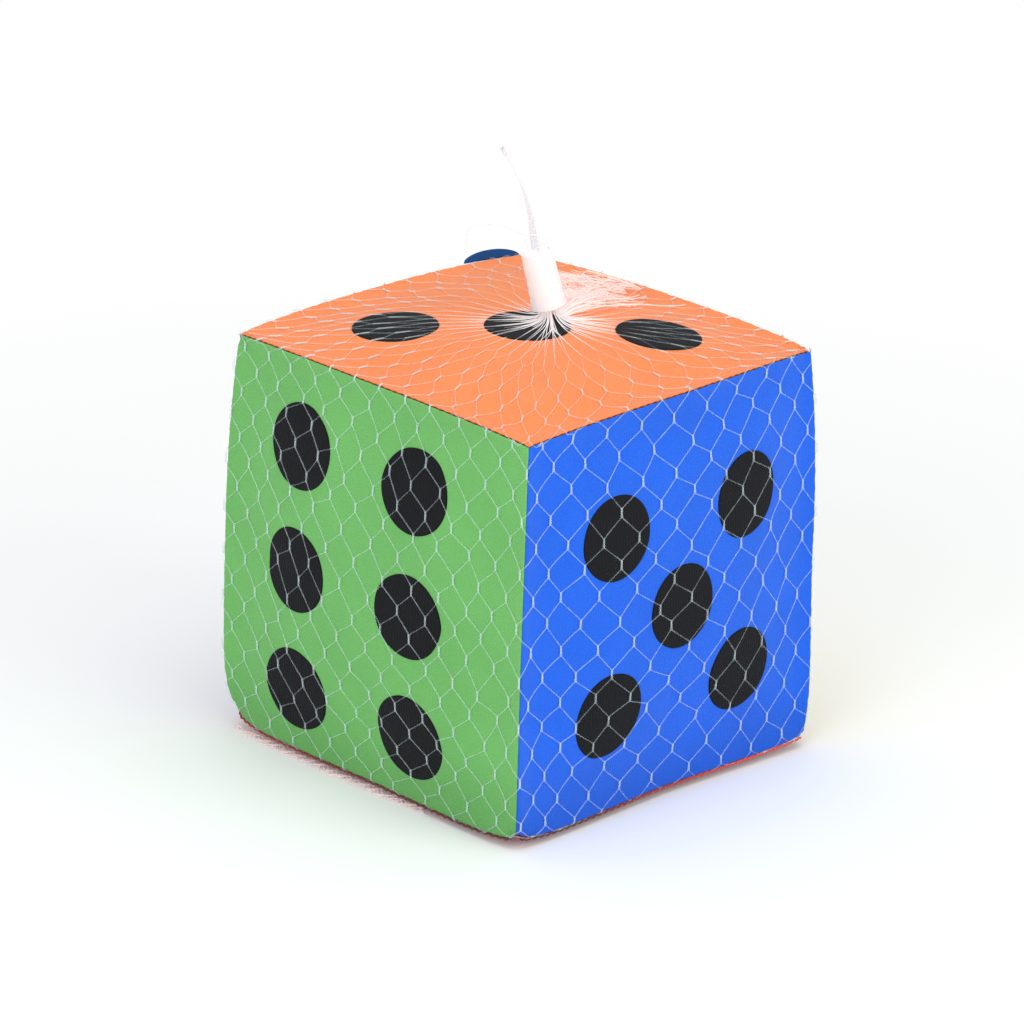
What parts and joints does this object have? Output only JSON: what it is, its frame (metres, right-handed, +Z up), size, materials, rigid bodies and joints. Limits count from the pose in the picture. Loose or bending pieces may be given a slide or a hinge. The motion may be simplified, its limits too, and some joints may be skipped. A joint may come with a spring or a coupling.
{
  "type": "soft dice",
  "caption": "Soft foam dice with a sewn cover of coloured panels and bonded round pips, carried in a gathered plastic net bag with a tilting white closure.",
  "frame": {"origin": "under the dice's centre, on the surface it rests on", "axes": "+Z up, towards the closure; six pips face -X, five face -Y, three are on top"},
  "size_m": [0.1582, 0.1582, 0.2198],
  "materials": {
    "cover_yellow": "matte",
    "cover_purple": "matte",
    "cover_orange": "matte",
    "cover_red": "matte",
    "cover_blue": "matte",
    "cover_green": "matte",
    "pip_black": "matte",
    "foam": "matte",
    "thread": "matte",
    "label_ribbon": "satin",
    "net_plastic": "gloss",
    "closure_plastic": "satin"
  },
  "bodies": {
    "dice": {"cover_panel_one": "cover_yellow", "cover_panel_two": "cover_purple", "cover_panel_three": "cover_orange", "cover_panel_four": "cover_red", "cover_panel_five": "cover_blue", "cover_panel_six": "cover_green", "pips_one": "pip_black", "pips_two": "pip_black", "pips_three": "pip_black", "pips_four": "pip_black", "pips_five": "pip_black", "pips_six": "pip_black", "foam_core": "foam", "seam_threads": "thread", "seam_label": "label_ribbon", "net_bag": "net_plastic", "net_gather": "net_plastic", "net_ruff": "net_plastic", "net_hem": "net_plastic"},
    "closure": {"closure_sleeve": "closure_plastic", "net_ends": "net_plastic", "hang_strip": "net_plastic", "stray_strands": "net_plastic"}
  },
  "joints": [
    {"name": "closure_tilt", "type": "hinge", "parent": "dice", "child": "closure", "pos_m": [0.00856, -0.00304, 0.15734], "axis": [-0.7071, -0.7071, 0], "range_deg": [-45, 20]}
  ]
}
